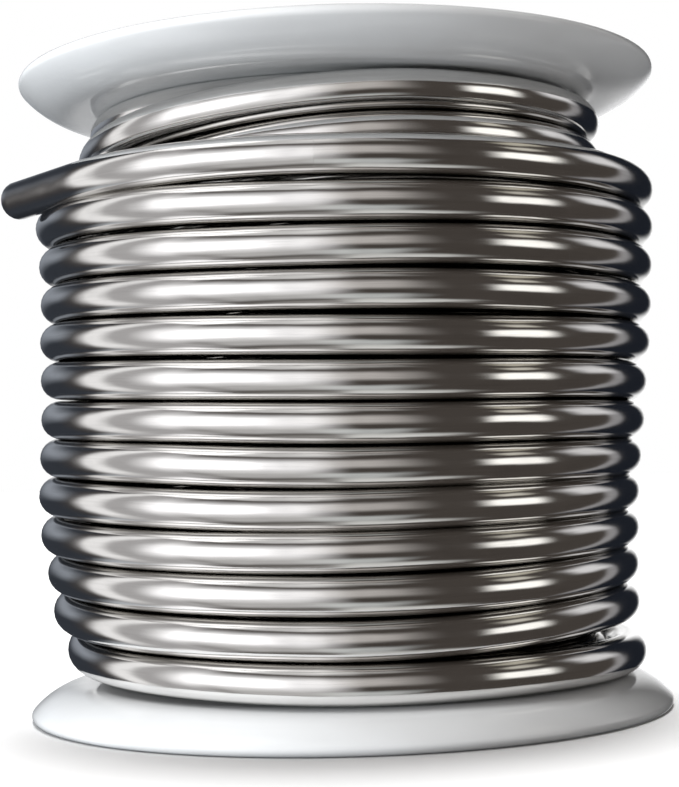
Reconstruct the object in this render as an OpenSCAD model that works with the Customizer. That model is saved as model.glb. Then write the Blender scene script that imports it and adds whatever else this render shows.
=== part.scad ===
/* [Wire] */
// Diameter of the solder wire
wire_d = 3.175; // [3:0.025:3.2]

/* [Spool] */
// Diameter of each flange
flange_d = 54; // [54:0.5:60]
// Thickness of each flange where the wire bears on it
flange_t = 3; // [3:0.1:3.4]
// Width between the flanges, filled by one layer of wire
inner_w = 47.7; // [47.7:0.1:48.5]
// Outside diameter of the barrel
barrel_d = 25.3; // [25:0.1:25.3]
// Wall of the barrel
barrel_wall = 1.6; // [1.4:0.1:1.8]
// Diameter of the arbor bore
bore_d = 16; // [14:0.1:16.5]

/* [Labels] */
// Inside diameter of each paper label
label_inner_d = 36.5; // [36:0.1:38]
// Outside diameter of each paper label
label_outer_d = 50; // [46:0.1:50.5]
// Thickness of a paper label
label_t = 0.2; // [0.15:0.05:0.3]

/* [Hidden] */
$fn = 96;

wire_r = wire_d / 2;
flange_r = flange_d / 2;
barrel_r = barrel_d / 2;
bore_r = bore_d / 2;
spool_h = inner_w + 2 * flange_t;
inner_top = flange_t + inner_w;
eps = 0.05;

// Flange rim: a long arc falls from the inner face to a thin, small-radius edge
rim_edge_r = 0.5;
rim_arc_r = 6.5;
rim_edge_x = flange_r - rim_edge_r;
rim_arc_z = flange_t - rim_arc_r;
rim_arc_x = rim_edge_x - sqrt(pow(rim_arc_r - rim_edge_r, 2) - pow(rim_edge_r - rim_arc_z, 2));
rim_join_angle = atan2(rim_edge_r - rim_arc_z, rim_edge_x - rim_arc_x);

// Outer face: a shallow ring for the label, and a hub recess inside it
label_gap = 0.4;
label_depth = 0.5;
hub_recess_depth = 1.2;
hub_recess_r = 17.4;
boss_wall = 2;
boss_r = bore_r + boss_wall;

// Spigot that the barrel is pressed over
spigot_r = barrel_r - barrel_wall;
spigot_h = 5;
spigot_lead = 0.5;

// Slot in the upper flange: the start of the wire rises through it on an arc of its own
start_r = barrel_r + wire_r + 0.15;
slot_inner_r = barrel_r + 0.1;
slot_outer_r = start_r + wire_r + 0.1;
slot_angle = 126;
slot_span = 32;
start_angle = 128;
start_bend_r = 6.5;
start_rise = 60;
start_steps = 6;

// Winding: turns in each layer, radius of the wire's centre line, and level of each outer turn
layer_turns = 15;
outer_turns = 13;
neck_centre_r = 20.35;
outer_low_r = 23.35;
outer_high_r = 24.7;
outer_pitch = 3.2;
first_level = flange_t + wire_r;
top_level = first_level + (outer_turns - 1) * outer_pitch;
turn_r = wire_r - 0.15;
neck_pitch = inner_w / layer_turns;
neck_turns_seen = 3;

// Free end: leaves the top turn at the take-off and runs straight. The top turn begins at the step
takeoff_angle = 215;
step_angle = 90;
pivot = [-20.2, -14.2, 43.4];
pivot_clearance = 0.3;
// Route of the free end, from the pivot to the cut tip
tail_route = [
    [-20.2, -14.2, 43.4],
    [-22.5, -10.9, 43.4],
    [-24.8, -7.6, 43.4],
    [-26.2, -5.6, 43.4],
    [-27.2, -4.2, 43.4]
];
tail_sides = 8;
start_sides = 12;

function outer_level(turn) = first_level + turn * outer_pitch;
function outer_centre_r(level) =
    outer_low_r + (outer_high_r - outer_low_r) * (level - first_level) / (top_level - first_level);

// ---------- spool ----------

// Half section of a plain flange, outer face at z = 0
module flange_section() {
    square([rim_arc_x, flange_t]);
    intersection() {
        translate([rim_arc_x, rim_arc_z])
            circle(r = rim_arc_r);
        polygon([
            [rim_arc_x - eps, 0],
            [rim_edge_x, 0],
            [rim_edge_x, rim_edge_r],
            [rim_edge_x + 3 * cos(rim_join_angle), rim_edge_r + 3 * sin(rim_join_angle)],
            [flange_r + 3, flange_t + 1],
            [rim_arc_x - eps, flange_t + 1]
        ]);
    }
    translate([rim_edge_x, rim_edge_r])
        circle(r = rim_edge_r);
}

// One flange, outer face at z = 0, with its spigot rising into the barrel
module flange() {
    difference() {
        union() {
            rotate_extrude()
                flange_section();
            translate([0, 0, flange_t - eps])
                cylinder(r = spigot_r, h = spigot_h - spigot_lead + eps);
            translate([0, 0, flange_t + spigot_h - spigot_lead])
                cylinder(r1 = spigot_r, r2 = spigot_r - spigot_lead, h = spigot_lead);
        }
        translate([0, 0, -1])
            cylinder(r = bore_r, h = flange_t + spigot_h + 2);
        label_recess();
        hub_recess();
    }
}

// Shallow ring in the outer face for the label
module label_recess() {
    translate([0, 0, -1])
        difference() {
            cylinder(r = label_outer_d / 2 + label_gap, h = 1 + label_depth);
            translate([0, 0, -1])
                cylinder(r = hub_recess_r, h = 4);
        }
}

// Deeper ring between the label and the boss round the bore
module hub_recess() {
    translate([0, 0, -1])
        difference() {
            cylinder(r = hub_recess_r, h = 1 + hub_recess_depth);
            translate([0, 0, -1])
                cylinder(r = boss_r, h = 4);
        }
}

// Curved slot, open from face to face, just outside the barrel
module start_slot() {
    rotate([0, 0, slot_angle])
        rotate_extrude(angle = slot_span)
            translate([slot_inner_r, -1])
                square([slot_outer_r - slot_inner_r, flange_t + 2]);
}

module barrel() {
    color("whitesmoke")
        translate([0, 0, flange_t])
            difference() {
                cylinder(r = barrel_r, h = inner_w);
                translate([0, 0, -1])
                    cylinder(r = spigot_r, h = inner_w + 2);
            }
}

module lower_flange() {
    color("whitesmoke")
        flange();
}

module upper_flange() {
    color("whitesmoke")
        difference() {
            translate([0, 0, spool_h])
                mirror([0, 0, 1])
                    flange();
            translate([0, 0, inner_top])
                start_slot();
        }
}

// ---------- labels ----------

module label() {
    difference() {
        cylinder(d = label_outer_d, h = label_t);
        translate([0, 0, -1])
            cylinder(d = label_inner_d, h = label_t + 2);
    }
}

module upper_label() {
    color("lightgray")
        translate([0, 0, spool_h - label_depth])
            label();
}

module lower_label() {
    color("lightgray")
        translate([0, 0, label_depth - label_t])
            label();
}

// ---------- solder ----------

// Half section of the winding: full inner layers, then the outer turns but for the last
module winding_section() {
    inner_r = barrel_r + eps;
    last_full = outer_level(outer_turns - 2);
    translate([inner_r, flange_t])
        square([neck_centre_r - inner_r, inner_w]);
    polygon([
        [inner_r, flange_t],
        [outer_centre_r(first_level), flange_t],
        [outer_centre_r(last_full), last_full + turn_r],
        [inner_r, last_full + turn_r]
    ]);
    for (turn = [0 : outer_turns - 2])
        translate([outer_centre_r(outer_level(turn)), outer_level(turn)])
            circle(r = turn_r);
    for (turn = [0 : neck_turns_seen - 1])
        translate([neck_centre_r, inner_top - (turn + 0.5) * neck_pitch])
            circle(r = turn_r);
}

// Last turn, from the take-off round the front and the right side to the step at the back
module top_turn() {
    shelf_h = turn_r + 0.3;
    shelf_r = neck_centre_r - 1;
    rotate([0, 0, takeoff_angle])
        rotate_extrude(angle = 360 - takeoff_angle + step_angle) {
            translate([outer_high_r, top_level])
                circle(r = turn_r);
            translate([shelf_r, top_level - shelf_h])
                square([outer_high_r - shelf_r, shelf_h]);
        }
}

module solder_coil() {
    color("silver")
        difference() {
            union() {
                rotate_extrude()
                    winding_section();
                top_turn();
            }
            translate(pivot)
                sphere(r = wire_r + pivot_clearance);
            for (i = [0 : len(tail_route) - 2])
                tail_room(tail_route[i], tail_route[i + 1]);
        }
}

// Room for the free end where it still lies beside the coil
module tail_room(from, to) {
    step = to - from;
    translate(from)
        rotate([0, acos(step[2] / norm(step)), atan2(step[1], step[0])])
            cylinder(r = wire_r + pivot_clearance, h = norm(step));
}

// The start of the wire, from the first turn's level up to its cut end
start_route = [
    for (i = [0 : start_steps])
        let (rise = start_rise * i / start_steps, turned = start_bend_r * sin(rise) / start_r)
        let (angle = start_angle + turned * 180 / PI)
        [start_r * cos(angle), start_r * sin(angle), inner_top - wire_r + start_bend_r * (1 - cos(rise))]
];

// Only what stands above the winding, in the slot
module solder_start() {
    color("silver")
        intersection() {
            tube(start_route, wire_r, start_sides);
            translate([-flange_r, -flange_r, inner_top])
                cube([flange_d, flange_d, flange_t - hub_recess_depth]);
        }
}

// Rings of a swept tube: one ring at each route point, square to the route there
function route_step(route, i) =
    let (a = route[max(i - 1, 0)], b = route[min(i + 1, len(route) - 1)]) (b - a) / norm(b - a);
function ring_side(step) = cross([0, 0, 1], step) / norm(cross([0, 0, 1], step));
function ring(centre, step, r, sides) =
    let (side = ring_side(step), up = cross(step, side))
    [for (k = [0 : sides - 1]) centre + r * (cos(360 * k / sides) * side + sin(360 * k / sides) * up)];

module tube(route, r, sides) {
    last = len(route) - 1;
    points = [for (i = [0 : last]) each ring(route[i], route_step(route, i), r, sides)];
    walls = [
        for (i = [0 : last - 1], k = [0 : sides - 1])
            let (n = (k + 1) % sides)
            [i * sides + k, (i + 1) * sides + k, (i + 1) * sides + n, i * sides + n]
    ];
    start_cap = [for (k = [0 : sides - 1]) k];
    end_cap = [for (k = [0 : sides - 1]) last * sides + sides - 1 - k];
    polyhedron(points = points, faces = concat(walls, [start_cap, end_cap]), convexity = 4);
}

module solder_free_end() {
    color("silver")
        tube(tail_route, wire_r, tail_sides);
}

// ---------- nodes ----------

barrel();
upper_flange();
lower_flange();
upper_label();
lower_label();
solder_coil();
solder_start();
solder_free_end();
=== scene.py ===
import math

import bpy
import numpy as np
from mathutils import Matrix, Vector


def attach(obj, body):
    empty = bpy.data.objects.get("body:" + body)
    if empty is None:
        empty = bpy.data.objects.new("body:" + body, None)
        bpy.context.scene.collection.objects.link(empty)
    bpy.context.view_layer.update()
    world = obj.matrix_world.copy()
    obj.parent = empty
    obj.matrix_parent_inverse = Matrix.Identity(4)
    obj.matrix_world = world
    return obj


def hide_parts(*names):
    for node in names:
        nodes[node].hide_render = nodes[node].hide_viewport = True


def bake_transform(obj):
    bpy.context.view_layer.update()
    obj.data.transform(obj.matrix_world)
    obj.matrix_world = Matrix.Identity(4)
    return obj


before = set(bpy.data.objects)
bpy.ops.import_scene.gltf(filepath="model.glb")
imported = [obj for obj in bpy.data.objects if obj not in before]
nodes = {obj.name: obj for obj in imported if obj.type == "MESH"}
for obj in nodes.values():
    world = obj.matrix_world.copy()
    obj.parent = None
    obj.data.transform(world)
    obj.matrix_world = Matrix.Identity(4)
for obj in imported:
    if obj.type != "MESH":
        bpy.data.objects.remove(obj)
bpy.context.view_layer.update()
mm = 0.001
scene = bpy.context.scene

cameraLook = {
    "place": (-0.389, -154.22, 20.92),  # mm
    "lens": 82.12,
    "sensor": 36,
    "pitch": 0.0375,  # radians, upwards
    "roll": -0.0283,  # radians
    "clip": (0.01, 20),
}


def makeCamera(look):
    cosP, sinP = math.cos(look["pitch"]), math.sin(look["pitch"])
    cosR, sinR = math.cos(look["roll"]), math.sin(look["roll"])
    forward = Vector((0, cosP, sinP))
    side, up = Vector((1, 0, 0)), Vector((0, -sinP, cosP))
    right, top = side * cosR + up * sinR, up * cosR - side * sinR
    data = bpy.data.cameras.new("camera")
    data.lens, data.sensor_width = look["lens"], look["sensor"]
    data.clip_start, data.clip_end = look["clip"]
    camera = bpy.data.objects.new("camera", data)
    scene.collection.objects.link(camera)
    turn = Matrix((right, top, -forward)).transposed().to_4x4()
    camera.matrix_world = Matrix.Translation(Vector(look["place"]) * mm) @ turn
    scene.camera = camera


makeCamera(cameraLook)
scene.view_settings.view_transform = "Standard"
print("camera ready")


def smooth(x, low, high):
    # 0 below low, 1 above high, and 3t2 - 2t3 between them
    t = np.clip((x - low) / (high - low), 0, 1)
    return t * t * (3 - 2 * t)


def unit(rows):
    return rows / np.linalg.norm(rows, axis=1)[:, None]


def addMesh(name, points, faces, body=None, attributes=None, flatFaces=0):
    # the last flatFaces faces are shaded flat
    mesh = bpy.data.meshes.new(name)
    mesh.from_pydata(points.tolist(), [], faces)
    count = len(mesh.polygons)
    mesh.polygons.foreach_set("use_smooth", np.arange(count) < count - flatFaces)
    for label, values in (attributes or {}).items():
        made = mesh.attributes.new(label, "FLOAT_VECTOR", "POINT")
        made.data.foreach_set("vector", values.astype(np.float32).ravel())
    mesh.update()
    piece = bpy.data.objects.new(name, mesh)
    scene.collection.objects.link(piece)
    if body:
        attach(piece, body)
    return piece


class Flow:
    # one socket of a node tree, so that shader maths reads as sums
    def __init__(self, tree, socket=None):
        self.tree, self.socket = tree, socket

    def make(self, kind, settings, inputs, out=0):
        node = self.tree.nodes.new(kind)
        for name, value in settings.items():
            setattr(node, name, value)
        for name, value in inputs.items():
            if isinstance(value, Flow):
                self.tree.links.new(value.socket, node.inputs[name])
            else:
                node.inputs[name].default_value = value
        return Flow(self.tree, node.outputs[out]) if node.outputs else None

    def maths(self, operation, *values):
        return self.make("ShaderNodeMath", {"operation": operation}, dict(enumerate(values)))

    def __add__(self, other):
        return self.maths("ADD", self, other)

    def __rsub__(self, other):
        return self.maths("SUBTRACT", other, self)

    def __mul__(self, other):
        return self.maths("MULTIPLY", self, other)

    def __pow__(self, other):
        return self.maths("POWER", self, other)

    __radd__, __rmul__ = __add__, __mul__

    def between(self, low, high):
        # 0 below low, 1 above high, smooth between them
        return self.make(
            "ShaderNodeMapRange",
            {"interpolation_type": "SMOOTHSTEP"},
            {"Value": self, "From Min": low, "From Max": high},
        )

    def window(self, low, high, soft):
        # 1 from low to high, with soft edges of that width
        inside = self.between(low - soft / 2, low + soft / 2)
        return inside * (1 - self.between(high - soft / 2, high + soft / 2))

    def split(self):
        return [self.make("ShaderNodeSeparateXYZ", {}, {0: self}, axis) for axis in "XYZ"]

    def noise(self, scale, detail, roughness, stretch=(1, 1, 1)):
        place = self.make("ShaderNodeMapping", {}, {"Vector": self, "Scale": stretch})
        return self.make(
            "ShaderNodeTexNoise",
            {},
            {"Vector": place, "Scale": scale, "Detail": detail, "Roughness": roughness},
        )

    def mix(self, low, high, **settings):
        # from the low colour to the high one with this value
        colours = [c if isinstance(c, Flow) else (*c, 1) for c in (low, high)]
        settings["data_type"] = "RGBA"
        return self.make("ShaderNodeMix", settings, {0: self, 6: colours[0], 7: colours[1]}, 2)

    def bump(self, distance, normal=None):
        inputs = {"Height": self, "Distance": distance}
        if normal:
            inputs["Normal"] = normal
        return self.make("ShaderNodeBump", {}, inputs)


def newMaterial(name):
    material = bpy.data.materials.new(name)
    material.use_nodes = True
    material.node_tree.nodes.clear()
    return material, Flow(material.node_tree)


def finishMaterial(flow, inputs):
    surface = flow.make("ShaderNodeBsdfPrincipled", {}, inputs)
    flow.make("ShaderNodeOutputMaterial", {}, {"Surface": surface})


wireSizes = {  # mm
    "diameter": 3.175,
    "innerTop": 50.7,  # underside of the upper flange
    "flangeTop": 3.0,  # upper face of the lower flange
    "layerRadii": (14.24, 17.3, 20.35),  # centre line of the hidden layers
    "layerTurns": 15,
    "outerLow": 23.35,  # centre line of the outer layer, at the bottom
    "outerHigh": 24.7,  # and at its last turn
    "outerPitch": 3.2,
    "neckDrop": 0.3,  # the third layer's top turn hangs this far below the flange
    "startRadius": 14.39,
    "startAngle": 128.0,  # degrees, where the start leaves the first turn
    "startBend": 6.5,  # radius of its rise through the slot
    "startRise": 60.0,  # degrees
    "startRings": 9,
}
# where the path changes, in degrees gone round clockwise from above: a multiple of 360 is the front
wireTravel = {
    "start": 142,
    "ontoBarrel": (142, 262),
    "firstDown": 202,
    "ontoSecond": (5540, 5610),
    "secondUp": 5620,
    "ontoThird": (10775, 10930),
    "neckDrop": (10900, 11050),
    "thirdDown": (11140, 11275),  # the first step down; each turn makes one
    "ontoOuter": (16330, 16415),
    "outerStart": 16560.0,  # the first outer turn passes the front
    "outerUp": (5, 195),  # degrees after the front where a turn starts to climb, and how long
}
outerTurns = 13
windingShape = {  # mm and degrees
    "turnRaise": {2: 0.9, 3: 0.85, 4: 0.65, 5: 0.42, 6: 0.2, 7: 0.08},  # outer turns, right side
    "turnTuck": {1: 1.3, 2: 0.7, 3: 0.3},  # outer turns, drawn in on the left side
    "turnReach": 96.774,  # how far round a raised or tucked place goes to both sides
    "lastRaise": 0.4305,
    "lastRaiseFrom": (-60, 75),
    "bulge": 1.1,  # the neck's turn is pushed out by the step beneath it
    "bulgeAt": 11215,
    "bulgeReach": 60,
    "sag": 0.3,  # the middle turns hang a little across the front
    "sagTurn": 18,
    "sagLevel": 26,
    "sagSpread": 10,
    # the outer layer leans to the right at the top and to the left below: how far, and the levels
    "leanHigh": 0.45,
    "leanHighFrom": (25, 37),
    "leanLow": 0.6,
    "leanLowUpTo": (18, 27),
    "leanLowFrom": (4, 9),
    "leanNeck": 0.5,
    "leanNeckFrom": (36, 44),
    "leanNeckTravel": (10830, 10960),
    # hand-laid unevenness of the outer turns: size, waves in a turn, phase
    "levelWaves": ((0.035, 2.31, 1), (0.025, 5.17, 0)),
    "outWaves": ((0.04, 1.73, 2), (0.025, 4.39, 0.5)),
}
freeEndRoute = np.array([  # mm, from the take-off to the cut tip
    (-20.2, -14.2, 43.4),
    (-22.5, -10.9, 43.4),
    (-24.8, -7.6, 43.4),
    (-26.2, -5.6, 43.4),
    (-27.2, -4.2, 43.4),
])


def softRamp(x, softness=0.008):
    # the difference of two soft corners: about 0 below 0, x itself, and 1 above 1
    def corner(t):
        return (t + np.sqrt(t * t + softness)) / 2

    return corner(x) - corner(x - 1)


def hump(offset, reach):
    # a squared cosine: 1 in the middle, 0 from reach outwards
    return np.cos(np.radians(90 * np.clip(offset / reach, -1, 1))) ** 2


def wirePlace(travel):
    # centre of the wire after it has gone round by that many degrees. The first two layers are
    # helices, the third steps down at the left, and each outer turn climbs round the left
    s, at, shape = wireSizes, wireTravel, windingShape
    radius = s["diameter"] / 2
    top, bottom = s["innerTop"] - radius, s["flangeTop"] + radius
    first, second, third = s["layerRadii"]
    steps = s["layerTurns"] - 1
    rise = (top - bottom) / steps
    fall = (top - s["neckDrop"] - bottom) / steps
    level = top - rise * np.clip((travel - at["firstDown"]) / 360, 0, steps)
    level = level + rise * np.clip((travel - at["secondUp"]) / 360, 0, steps)
    level = level - s["neckDrop"] * smooth(travel, *at["neckDrop"])
    for turn in range(steps):
        level = level - fall * smooth(travel - 360 * turn, *at["thirdDown"])
    past = travel - at["outerStart"]
    wait, climb = at["outerUp"]
    for turn in range(outerTurns - 1):
        level = level + s["outerPitch"] * softRamp((past - 360 * turn - wait) / climb)
    lastPast = past - 360 * (outerTurns - 1)
    level = level + shape["lastRaise"] * smooth(lastPast, *shape["lastRaiseFrom"])

    out = s["startRadius"] + (first - s["startRadius"]) * smooth(travel, *at["ontoBarrel"])
    out = out + (second - first) * smooth(travel, *at["ontoSecond"])
    out = out + (third - second) * smooth(travel, *at["ontoThird"])
    out = out + shape["bulge"] * hump(travel - shape["bulgeAt"], shape["bulgeReach"])
    outer = smooth(travel, *at["ontoOuter"])
    high = (level - bottom) / (s["outerPitch"] * (outerTurns - 1))
    out = out + outer * (s["outerLow"] - third + (s["outerHigh"] - s["outerLow"]) * high)

    for turn, raised in shape["turnRaise"].items():
        level = level + raised * hump(past + 90 - 360 * (turn - 1), shape["turnReach"])
    for turn, tucked in shape["turnTuck"].items():
        out = out - tucked * hump(past - 90 - 360 * (turn - 1), shape["turnReach"])
    front = np.clip(np.cos(np.radians(past + shape["sagTurn"])), 0, 1) ** 2
    middle = np.exp(-((level - shape["sagLevel"]) / shape["sagSpread"]) ** 2)
    level = level - outer * shape["sag"] * front * middle
    t = np.radians(travel)
    level = level + outer * sum(a * np.sin(rate * t + p) for a, rate, p in shape["levelWaves"])
    out = out + outer * sum(a * np.sin(rate * t + p) for a, rate, p in shape["outWaves"])

    lean = outer * shape["leanHigh"] * smooth(level, *shape["leanHighFrom"])
    below = (1 - smooth(level, *shape["leanLowUpTo"])) * smooth(level, *shape["leanLowFrom"])
    neck = smooth(travel, *shape["leanNeckTravel"]) * smooth(level, *shape["leanNeckFrom"])
    lean = lean - outer * shape["leanLow"] * below + (1 - outer) * shape["leanNeck"] * neck
    angle = np.radians(270 - travel)
    return np.stack([out * np.cos(angle) + lean, out * np.sin(angle), level], 1)


def startPlaces():
    # the start of the wire: an arc that rises from the first turn's level through the slot
    s = wireSizes
    rise = np.radians(np.linspace(s["startRise"], 0, s["startRings"], endpoint=False))
    angle = np.radians(s["startAngle"]) + s["startBend"] * np.sin(rise) / s["startRadius"]
    level = s["innerTop"] - s["diameter"] / 2 + s["startBend"] * (1 - np.cos(rise))
    x, y = s["startRadius"] * np.cos(angle), s["startRadius"] * np.sin(angle)
    return np.stack([x, y, level], 1)


tubeSizes = {
    "sides": 24,
    "guard": 0.01,  # mm
    "roundFrom": (12, 77),  # degrees of a rounded end's quarter circle that have rings
    "roundRings": 6,
}


def tubeMesh(centres, roundStart, roundEnd, along, tangentStart, tangentEnd):
    # a circle carried along the centres, square to them. A rounded end is a quarter circle of
    # rings that closes on a pole. A cut end has a second ring just inside it, so that its cap
    # does not shade the wall
    radius, sides = wireSizes["diameter"] / 2, tubeSizes["sides"]
    step = np.gradient(centres, axis=0)
    if tangentStart is not None:
        step[0] = tangentStart
    if tangentEnd is not None:
        step[-1] = tangentEnd
    step = unit(step)
    for rounded, end, near, inward in ((roundStart, 0, 1, 1), (roundEnd, -1, -1, -1)):
        if not rounded:
            guard = centres[end] + inward * tubeSizes["guard"] * step[end]
            centres = np.insert(centres, near, guard, 0)
            step = np.insert(step, near, step[end], 0)
    side = unit(np.cross([0.0, 0.0, 1.0], step))
    up = np.cross(step, side)
    gaps = np.linalg.norm(np.diff(centres, axis=0), axis=1)
    travelled = along + np.r_[0, np.cumsum(gaps)]

    def endRings(depth):
        # from the tip inwards: how far each ring stands out, and its radius
        count = tubeSizes["roundRings"] if depth else 0
        turn = np.radians(np.linspace(*tubeSizes["roundFrom"], count))
        return depth * np.cos(turn), radius - depth + depth * np.sin(turn)

    startReach, startSize = endRings(roundStart)
    endReach, endSize = (values[::-1] for values in endRings(roundEnd))
    last = len(centres) - 1
    pick = np.r_[np.zeros(len(startSize), int), np.arange(last + 1), np.full(len(endSize), last)]
    reach = np.r_[-startReach, np.zeros(last + 1), endReach]
    sizes = np.r_[startSize, np.full(last + 1, radius), endSize]
    middles = centres[pick] + reach[:, None] * step[pick]
    marks = travelled[pick] + reach
    turn = np.linspace(0, 2 * np.pi, sides, endpoint=False)
    spokes = np.cos(turn)[:, None] * side[pick][:, None] + np.sin(turn)[:, None] * up[pick][:, None]
    points = (middles[:, None] + sizes[:, None, None] * spokes).reshape(-1, 3)
    # the material reads which way each point faces, outwards and up, and how far along it is
    share = (sizes / radius)[:, None]
    wire = np.broadcast_arrays(share * np.cos(turn), share * np.sin(turn), marks[:, None])
    wire = np.stack(wire, 2).reshape(-1, 3)
    count = len(middles)
    row, column = np.meshgrid(np.arange(count - 1), np.arange(sides), indexing="ij")
    near, beside = row * sides + column, row * sides + (column + 1) % sides
    faces = np.stack([near, beside, beside + sides, near + sides], 2).reshape(-1, 4).tolist()
    points = np.concatenate([points, middles[[0, -1]]])
    wire = np.concatenate([wire, [[0, 0, marks[0]], [0, 0, marks[-1]]]])
    base, tip, lastRing = count * sides, count * sides + 1, (count - 1) * sides
    faces += [[base, (k + 1) % sides, k] for k in range(sides)]
    faces += [[tip, lastRing + k, lastRing + (k + 1) % sides] for k in range(sides)]
    return points * mm, faces, {"wire": wire}, travelled[-1], 2 * sides


pivot = freeEndRoute[0]
takeoff = 270 - math.degrees(math.atan2(pivot[1], pivot[0])) - 360
takeoffTravel = wireTravel["outerStart"] + 360 * (outerTurns - 1) + takeoff
wireRings = {
    "coarse": 12.0,  # degrees between rings on the hidden turns
    "fine": 3.0,  # and where the wire shows
    "neck": (10780.0, 12080.0),  # the third layer's turns that show
    "outerFrom": 16280,
    "tailArc": 50.0,  # degrees of the last turn that belong to the free end's piece
    "tailArcRings": 34,
    "settle": 10,  # degrees after the join where that turn starts to close on the take-off point
    "tailGap": 0.65,  # mm between rings on the straight run
    "tailInset": (1.4, 0.9),  # mm from the tip to the last of them, and to the rounded end
    "startRound": 0.12,  # mm
    "tipRound": 0.85,
}


def makeWire(rings):
    joinTravel = takeoffTravel - rings["tailArc"]
    coarse, fine, shown = rings["coarse"], rings["fine"], rings["outerFrom"]
    neckFrom, neckTo = rings["neck"]
    travel = np.concatenate([
        np.arange(wireTravel["start"], neckFrom, coarse),
        np.arange(neckFrom, neckTo, fine),
        np.arange(neckTo, shown, coarse),
        np.linspace(shown, joinTravel, int((joinTravel - shown) / fine)),
    ])
    arc = np.linspace(joinTravel, takeoffTravel, rings["tailArcRings"])
    arcPlaces = wirePlace(arc)
    closing = smooth(arc, joinTravel + rings["settle"], takeoffTravel)
    arcPlaces += closing[:, None] * (pivot - arcPlaces[-1])
    gaps = np.linalg.norm(np.diff(freeEndRoute, axis=0), axis=1)
    measured = np.r_[0, np.cumsum(gaps)]
    gap, (lastInset, tipInset) = rings["tailGap"], rings["tailInset"]
    run = np.append(np.arange(gap, measured[-1] - lastInset, gap), measured[-1] - tipInset)
    straight = np.stack([np.interp(run, measured, freeEndRoute[:, k]) for k in range(3)], 1)
    tailPath = np.concatenate([arcPlaces, straight])
    coilPath = np.concatenate([startPlaces(), wirePlace(travel)])
    coilPath[-1] = tailPath[0]
    shared = tailPath[1] - coilPath[-2]
    body, faces, marks, length, caps = tubeMesh(coilPath, rings["startRound"], 0, 0, None, shared)
    coil = addMesh("solder-coil", body, faces, "spool", marks, caps)
    body, faces, marks, end, caps = tubeMesh(tailPath, 0, rings["tipRound"], length, shared, None)
    tail = addMesh("solder-free-end", body, faces, None, marks, caps)
    return coil, coilPath * mm, length * mm, tail, tailPath * mm, (end - length) * mm


coil, coilPath, coilLength, tail, tailPath, tailLength = makeWire(wireRings)
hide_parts("solder_coil", "solder_start")
tailStep = freeEndRoute[1] - pivot
tailStep = tailStep / np.linalg.norm(tailStep)
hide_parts("solder_free_end")
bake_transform(tail)
print("wire ready", round(coilLength, 3), "m on the spool", round(tailLength, 4), "m free end")

spoolSizes = {  # mm
    "height": 53.7,
    "flangeRadius": 27.0,
    "flangeThick": 3.0,
    "rimEdge": 0.5,  # radius of the thin outer edge
    "rimArc": 6.5,  # radius of the long arc that falls to it
    "bore": 8.0,
    "spigot": 11.05,
    "spigotHeight": 5.0,
    "spigotLead": 0.5,
    "boss": 10.0,
    "hubRecess": 17.4,
    "hubDepth": 1.2,
    "labelRecess": 25.4,
    "labelDepth": 0.5,
    "slot": (12.75, 16.08),
    "slotAngles": (126, 158),  # degrees
    "corner": 0.15,  # broken edges
    "columns": 180,
}


def arcPoints(centre, radius, start, end, count):
    turn = np.radians(np.linspace(start, end, count))
    return np.stack([centre[0] + radius * np.cos(turn), centre[1] + radius * np.sin(turn)], 1)


def brokenCorners(corners, radius, steps=4, guard=0.05):
    # a closed outline whose corners become small arcs, each with a point just outside it on both
    # sides, so that shading stays flat on the faces. A corner given as an array is kept as it is
    outline = []
    count = len(corners)
    for i, corner in enumerate(corners):
        if len(np.shape(corner)) == 2:
            outline.append(corner)
            continue
        before = np.atleast_2d(corners[i - 1])[-1]
        after = np.atleast_2d(corners[(i + 1) % count])[0]
        corner = np.array(corner)
        inward, outward = corner - before, after - corner
        room = min(np.linalg.norm(inward), np.linalg.norm(outward)) * 0.4
        inward, outward = inward / np.linalg.norm(inward), outward / np.linalg.norm(outward)
        cut = min(radius, room)
        t = np.linspace(0, 1, steps + 1)[:, None]
        # a quadratic curve from one side to the other, with the corner as its handle
        start, end = corner - inward * cut, corner + outward * cut
        bend = (1 - t) ** 2 * start + 2 * t * (1 - t) * corner + t * t * end
        spare = min(guard, room - cut + 0.01)
        outline += [corner - inward * (cut + spare), bend, corner + outward * (cut + spare)]
    return np.concatenate([np.atleast_2d(part) for part in outline])


def flangeOutline(s):
    # half section of a flange, outer face at 0, anticlockwise from the bore's outer corner
    thin, arc, thick = s["rimEdge"], s["rimArc"], s["flangeThick"]
    edgeX, arcZ = s["flangeRadius"] - thin, thick - arc
    arcX = edgeX - math.sqrt((arc - thin) ** 2 - (thin - arcZ) ** 2)
    join = math.degrees(math.atan2(thin - arcZ, edgeX - arcX))
    edge = arcPoints((edgeX, thin), thin, -90, join, 9)
    fall = arcPoints((arcX, arcZ), arc, join, 90, 15)[1:]
    slotIn, slotOut = s["slot"]
    spigotEnd = thick + s["spigotHeight"]
    return brokenCorners([
        (s["bore"], 0), (s["boss"], 0), (s["boss"], s["hubDepth"]),
        np.array([(slotIn, s["hubDepth"]), (slotOut, s["hubDepth"])]),
        (s["hubRecess"], s["hubDepth"]), (s["hubRecess"], s["labelDepth"]),
        (s["labelRecess"], s["labelDepth"]), (s["labelRecess"], 0),
        np.concatenate([edge, fall]),
        np.array([(slotOut, thick), (slotIn, thick)]),
        (s["spigot"], thick), (s["spigot"], spigotEnd - s["spigotLead"]),
        (s["spigot"] - s["spigotLead"], spigotEnd), (s["bore"], spigotEnd),
    ], s["corner"])


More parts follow.
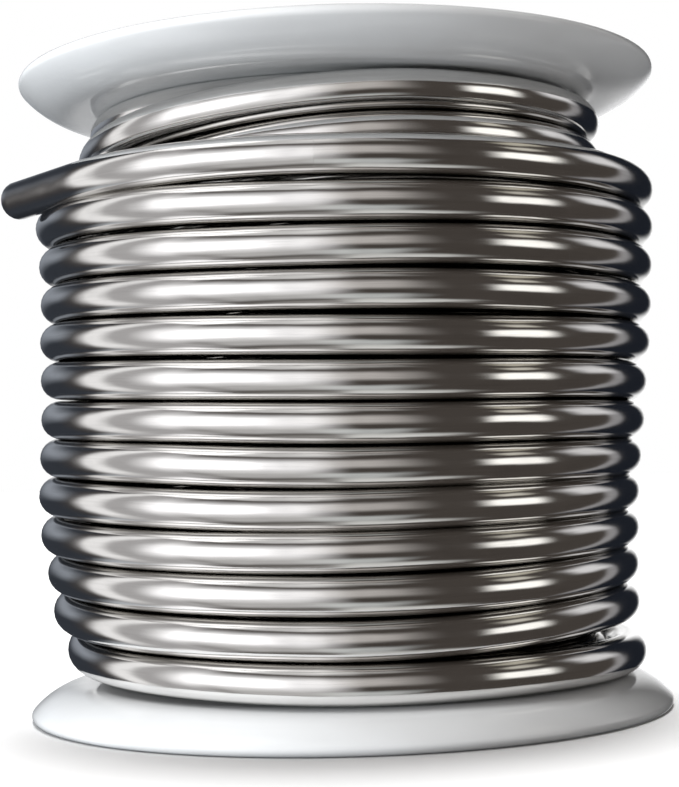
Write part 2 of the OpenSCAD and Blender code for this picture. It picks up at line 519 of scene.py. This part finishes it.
def cutSlot(s, outline, keep):
    # leaves the slot's cells out of both faces, and returns its four walls
    rows, columns = keep.shape
    low, high = (int(round(a * columns / 360)) for a in s["slotAngles"])
    within = np.arange(low, high)
    inner, outer = s["slot"]
    radii = outline[:, 0]
    nearer, further = np.sort([radii, np.roll(radii, -1)], 0)
    cut = np.where((abs(nearer - inner) < 1e-6) & (abs(further - outer) < 1e-6))[0]
    keep[np.ix_(cut, within)] = False
    # the slot's four edges: first vertex of the inner and outer circle's row on each face
    middle = s["height"] - (s["hubDepth"] + s["flangeThick"]) / 2
    edges = {}
    for row in np.concatenate([cut, (cut + 1) % rows]):
        edges[abs(radii[row] - inner) < 1e-6, outline[row, 1] > middle] = row * columns
    topIn, topOut, lowIn, lowOut = (
        edges[True, True], edges[False, True], edges[True, False], edges[False, False])

    def strip(*corners):
        return np.stack(corners, -1).tolist()

    return (
        strip(lowIn + within + 1, lowIn + within, topIn + within, topIn + within + 1)
        + strip(lowOut + within, lowOut + within + 1, topOut + within + 1, topOut + within)
        + [[topIn + low, lowIn + low, lowOut + low, topOut + low]]
        + [[topOut + high, lowOut + high, lowIn + high, topIn + high]]
    )


def makeFlange(name, s, upper):
    # the outline turned round the axis. The upper one is the same piece turned over, with a slot
    outline = flangeOutline(s)
    if upper:
        outline = np.stack([outline[:, 0], s["height"] - outline[:, 1]], 1)[::-1]
    rows, columns = len(outline), s["columns"]
    turn = np.linspace(0, 2 * np.pi, columns, endpoint=False)
    ring = np.stack([np.cos(turn), np.sin(turn)], 1)
    level = np.broadcast_to(outline[:, None, 1:], (rows, columns, 1))
    points = np.concatenate([outline[:, None, :1] * ring[None], level], 2).reshape(-1, 3)
    row, column = np.meshgrid(np.arange(rows), np.arange(columns), indexing="ij")
    nextRow, nextColumn = (row + 1) % rows, (column + 1) % columns
    faces = np.stack([
        row * columns + column, row * columns + nextColumn,
        nextRow * columns + nextColumn, nextRow * columns + column], 2)
    keep = np.ones((rows, columns), bool)
    walls = cutSlot(s, outline, keep) if upper else []
    return addMesh(name, points * mm, faces[keep].tolist() + walls, "spool", None, len(walls))


lowerFlange = makeFlange("flange-lower", spoolSizes, False)
upperFlange = makeFlange("flange-upper", spoolSizes, True)
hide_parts("lower_flange")
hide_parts("upper_flange")
print("spool ready")

# a noise is given by its scale, detail, roughness and stretch
solderLook = {
    "bright": (0.86, 0.85, 0.835),
    "dull": (0.70, 0.69, 0.68),
    # colour of the painted shade where turns touch, under them and on their hidden inner sides
    "paintedShade": (0.34, 0.33, 0.31),
    "roughness": (0.09, 0.17),
    # drawn lines run along the wire, so their noise is fine across it and long along it
    "streaks": (7.0, 3.0, 0.6, (1, 1, 0.012)),
    "hairlines": (22.0, 2.0, 0.6, (1, 1, 0.02)),
    "patches": (0.5, 3.0, 0.6, (1, 1, 0.3)),
    "dents": (0.9, 1.5, 0.5, (1, 1, 0.22)),
    "grain": (9.0, 3.0, 0.65, (1, 1, 0.6)),
    "streakDepth": 0.0000016,  # metres
    "dentDepth": 0.00005,
    "buried": (3400.0, 4940.0, 40.0),  # mm along the wire of the turns painted in shade under the outer layer, and the soft edge
    "lastTurn": (6560.0, 6640.0),  # its inner side can be seen, so it gets no painted shade there
}
plasticLook = {
    "light": (0.83, 0.845, 0.86),
    "shade": (0.78, 0.79, 0.80),
    "roughness": (0.08, 0.17),
    "clouds": (90.0, 3.0, 0.6),
    "skin": (1400.0, 2.0, 0.5),
    "specks": (5200.0, 1.0, 0.5),
    "swirl": (260.0, 2.0, 0.5, (1, 1, 4)),
    "depth": 0.000006,  # metres
}
paperLook = {
    "paper": (0.80, 0.79, 0.75),
    "fibre": (0.70, 0.69, 0.65),
    "ink": (0.30, 0.34, 0.40),
    "fibres": (2600.0, 4.0, 0.7, (1, 0.35, 1)),
    "clouds": (140.0, 3.0, 0.6),
    "rings": ((0.0192, 0.01955), (0.0239, 0.0243)),  # metres from the axis
    "ringEdge": 0.00006,
    "depth": 0.00001,
}


def solderMaterial(look):
    material, flow = newMaterial("solder")
    wire = flow.make("ShaderNodeAttribute", {"attribute_name": "wire"}, {}, "Vector")
    lines = wire.noise(*look["streaks"]) * 0.6 + wire.noise(*look["hairlines"]) * 0.4
    normal = wire.noise(*look["dents"]).bump(look["dentDepth"])
    normal = lines.bump(look["streakDepth"], normal)
    patches = wire.noise(*look["patches"]).between(0.45, 0.75)
    dull = patches * 0.6 + lines.between(0.45, 0.7) * 0.4
    low, high = look["roughness"]
    # painted shade: darker where neighbouring turns touch, above, below and within, and on the
    # turns under the outer layer
    outward, upward, travelled = wire.split()
    buried = travelled.window(*look["buried"])
    inner = (outward * -1).between(0.1, 0.6) * (1 - travelled.between(*look["lastTurn"]))
    paintedShade = (upward * -1).between(0.74, 1.0) + upward.between(0.92, 1.03) + buried + inner
    metal = dull.mix(look["bright"], look["dull"])
    finishMaterial(flow, {
        "Base Color": flow.maths("MINIMUM", paintedShade, 1.0).mix(metal, look["paintedShade"]),
        "Metallic": 1.0,
        "Roughness": low + (high - low) * (dull * 0.6 + wire.noise(*look["grain"]) * 0.4),
        "Normal": normal,
    })
    return material


def plasticMaterial(look):
    material, flow = newMaterial("white plastic")
    place = flow.make("ShaderNodeTexCoord", {}, {}, "Object")
    skin, swirl = place.noise(*look["skin"]), place.noise(*look["swirl"])
    clouds = place.noise(*look["clouds"]).between(0.35, 0.7)
    specks = place.noise(*look["specks"]).between(0.68, 0.8)
    low, high = look["roughness"]
    finishMaterial(flow, {
        "Base Color": (clouds * 0.7 + specks * 0.3).mix(look["light"], look["shade"]),
        "Roughness": low + (high - low) * (swirl.between(0.35, 0.7) * 0.6 + skin * 0.4),
        "IOR": 1.5,
        "Normal": (skin * 0.7 + swirl * 1.5).bump(look["depth"]),
    })
    return material


def paperMaterial(look):
    material, flow = newMaterial("label paper")
    place = flow.make("ShaderNodeTexCoord", {}, {}, "Object")
    x, y = place.split()[:2]
    out = (x * x + y * y) ** 0.5
    fibres, clouds = place.noise(*look["fibres"]), place.noise(*look["clouds"])
    paper = fibres.between(0.4, 0.75) * 0.6 + clouds.between(0.4, 0.8) * 0.4
    # two plain printed rings near the edges, a little worn
    inside, outside = (out.window(*ring, look["ringEdge"]) for ring in look["rings"])
    worn = (inside + outside) * (1 - fibres.between(0.55, 0.7) * 0.6)
    finishMaterial(flow, {
        "Base Color": worn.mix(paper.mix(look["paper"], look["fibre"]), look["ink"]),
        "Roughness": 0.55 + 0.25 * fibres,
        "Normal": (fibres * 0.6 + clouds * 0.4).bump(look["depth"]),
    })
    return material


solder, plastic = solderMaterial(solderLook), plasticMaterial(plasticLook)
paper = paperMaterial(paperLook)
for piece, material in (
    (coil, solder), (tail, solder), (lowerFlange, plastic), (upperFlange, plastic),
    (nodes["barrel"], plastic), (nodes["upper_label"], paper), (nodes["lower_label"], paper),
):
    piece.data.materials.clear()
    piece.data.materials.append(material)
print("materials ready")

# what the metal mirrors: soft panels, each by its bearing from the front (degrees, right is
# positive), its height above the horizon, the width of its soft edges, its colour and its strength
studio = [
    # the large soft box on the left
    ((-76, -5), (-22, 36), (22, 32), (1.0, 1.0, 1.02), 0.78),
    ((-66, -30), (-14, 24), (24, 20), (1.0, 1.0, 1.02), 0.6),
    ((-64, -6), (-56, -22), (30, 20), (1.0, 1.0, 1.0), 0.36),
    ((-9, 24), (-3, 37), (30, 22), (1.0, 0.96, 0.93), 0.36),
    # its bright edge, and the wall beside it
    ((-113, -98), (-36, 58), (9, 22), (1.0, 1.0, 1.0), 0.42),
    ((-115, -68), (-56, 52), (14, 16), (1.0, 1.0, 1.02), 0.3),
    ((-122, -86), (-70, -50), (16, 12), (1.0, 1.0, 1.02), 0.9),
    ((-168, -126), (4, 20), (20, 16), (0.9, 0.97, 1.08), 0.22),
    ((-152, -116), (-54, -33), (16, 10), (0.95, 1.0, 1.05), 0.36),
    # ceiling
    ((-106, -62), (52.5, 74), (22, 5), (1.0, 1.0, 1.0), 0.85),
    ((-100, -4), (53.5, 80), (34, 8), (1.0, 1.0, 1.0), 0.46),
    ((-24, 42), (63, 95), (30, 12), (1.0, 0.99, 0.97), 0.24),
    # the warm lamp and what it lights
    ((56, 80), (-7, 17), (13, 13), (1.0, 0.99, 0.95), 1.35),
    ((69, 84), (31, 42), (8, 6), (1.0, 0.96, 0.84), 0.45),
    ((85, 112), (47, 57), (10, 5), (1.0, 0.95, 0.78), 0.36),
    # far right: a pale patch and its narrow edge
    ((100, 124), (13, 33), (14, 12), (1.0, 1.0, 1.02), 0.55),
    ((118, 127), (-40, 16), (6, 12), (1.0, 1.0, 1.04), 0.2),
    # what the table sends back
    ((-10, 27), (-58, -33), (26, 16), (0.95, 1.0, 1.0), 0.38),
    ((-2, 80), (-95, -58), (30, 12), (0.98, 1.0, 0.98), 0.36),
    ((-181, 181), (-95, -66), (1, 14), (1.0, 0.99, 0.97), 0.16),
    # behind
    ((160, 181), (-12, 52), (12, 20), (1.0, 1.0, 1.0), 1.0),
    ((-181, -170), (-12, 52), (8, 20), (1.0, 1.0, 1.0), 1.0),
]
room = {
    "warm": (0.05, 0.043, 0.038),  # the dark between the panels
    "cool": (0.01, 0.012, 0.017),  # and on the far right
    "coolFrom": (118, 134),
    "left": (0.028, 0.032, 0.04),
    "leftUpTo": (-136, -110),
    "backdrop": (1.0, 1.0, 1.0),  # what the camera sees
    "power": 1.2,
}
floorLook = {
    "white": 0.9,  # where the camera sees it
    "bounced": 0.27,  # what it sends back to the object
    "sun": 3.9,
    "spread": 24.0,  # degrees
    "tilt": 10.0,  # degrees
    "half": 1.5,  # metres
    "squares": 6,
    "sink": 0.00002,
}
# for the plastic alone: the metal mirrors the panels only. Places and widths in mm
flangeLights = [
    {"place": (-150, -150, 190), "aim": (-4, -20, 3), "width": 90, "watts": 0.36,
     "colour": (1.0, 0.99, 0.97)},
    {"place": (-190, -110, 4), "aim": (-16, -10, 50), "width": 60, "watts": 0.42,
     "colour": (0.9, 0.96, 1.0)},
]


def makeWorld(panels, look):
    world = bpy.data.worlds.new("studio")
    scene.world = world
    world.use_nodes = True
    world.node_tree.nodes.clear()
    flow = Flow(world.node_tree)
    x, y, z = flow.make("ShaderNodeTexCoord", {}, {}, "Generated").split()
    degrees = 180 / math.pi
    bearing = flow.maths("ARCTAN2", x, y * -1) * degrees
    height = flow.maths("ARCSINE", z) * degrees
    total = bearing.between(*look["coolFrom"]).mix(look["warm"], look["cool"])
    total = (1 - bearing.between(*look["leftUpTo"])).mix(total, look["left"])
    for bearings, heights, soft, colour, power in panels:
        shape = bearing.window(*bearings, soft[0]) * height.window(*heights, soft[1]) * power
        lit = shape.mix((0, 0, 0), colour)
        adding = {"data_type": "RGBA", "blend_type": "ADD", "clamp_factor": False}
        total = flow.make("ShaderNodeMix", adding, {0: 1.0, 6: total, 7: lit}, 2)
    inputs = {"Color": total, "Strength": look["power"]}
    studioLight = flow.make("ShaderNodeBackground", {}, inputs)
    backdrop = flow.make("ShaderNodeBackground", {}, {"Color": (*look["backdrop"], 1)})
    seen = flow.make("ShaderNodeLightPath", {}, {}, "Is Camera Ray")
    mixed = flow.make("ShaderNodeMixShader", {}, {0: seen, 1: studioLight, 2: backdrop})
    flow.make("ShaderNodeOutputWorld", {}, {"Surface": mixed})


def lightOnly(name, lit, pieces):
    # the light reaches these pieces and no others
    only = bpy.data.collections.new(name)
    for piece in pieces:
        only.objects.link(piece)
    scene.collection.objects.link(lit)
    lit.light_linking.receiver_collection = only


def makeFloor(look):
    squares = look["squares"]
    side = np.linspace(-look["half"], look["half"], squares + 1)
    gridX, gridY = np.meshgrid(side, side)
    points = np.stack([gridX, gridY, np.full_like(gridX, -look["sink"])], 2).reshape(-1, 3)
    row, column = np.meshgrid(np.arange(squares), np.arange(squares), indexing="ij")
    corner, beyond = row * (squares + 1) + column, squares + 1
    faces = np.stack([corner, corner + 1, corner + beyond + 1, corner + beyond], 2)
    floor = addMesh("floor", points, faces.reshape(-1, 4).tolist())
    material, flow = newMaterial("floor")
    white, dim = (
        flow.make("ShaderNodeBsdfDiffuse", {}, {"Color": (look[tone],) * 3 + (1,)})
        for tone in ("white", "bounced"))
    bounced = flow.make("ShaderNodeLightPath", {}, {}, "Is Diffuse Ray")
    mixed = flow.make("ShaderNodeMixShader", {}, {0: bounced, 1: white, 2: dim})
    flow.make("ShaderNodeOutputMaterial", {}, {"Surface": mixed})
    floor.data.materials.append(material)
    floor.visible_glossy = False  # the metal mirrors the panels below the horizon instead
    # a broad overhead light, so that the floor stays white up to the contact shadow
    lamp = bpy.data.lights.new("floor light", "SUN")
    lamp.energy, lamp.angle = look["sun"], math.radians(look["spread"])
    lit = bpy.data.objects.new("floor light", lamp)
    lit.rotation_euler = (math.radians(-look["tilt"]), 0, 0)
    lightOnly("floor only", lit, [floor])


def makeFlangeLight(look, number):
    lamp = bpy.data.lights.new("plastic light %d" % number, "AREA")
    lamp.energy, lamp.size, lamp.color = look["watts"], look["width"] * mm, look["colour"]
    lit = bpy.data.objects.new(lamp.name, lamp)
    place, aim = Vector(look["place"]), Vector(look["aim"])
    lit.location = place * mm
    lit.rotation_euler = (aim - place).to_track_quat("-Z", "Y").to_euler()
    lit.visible_camera = lit.visible_glossy = False
    lightOnly("plastic only %d" % number, lit, [lowerFlange, upperFlange])


makeWorld(studio, room)
makeFloor(floorLook)
for number, look in enumerate(flangeLights):
    makeFlangeLight(look, number + 1)
print("light ready")
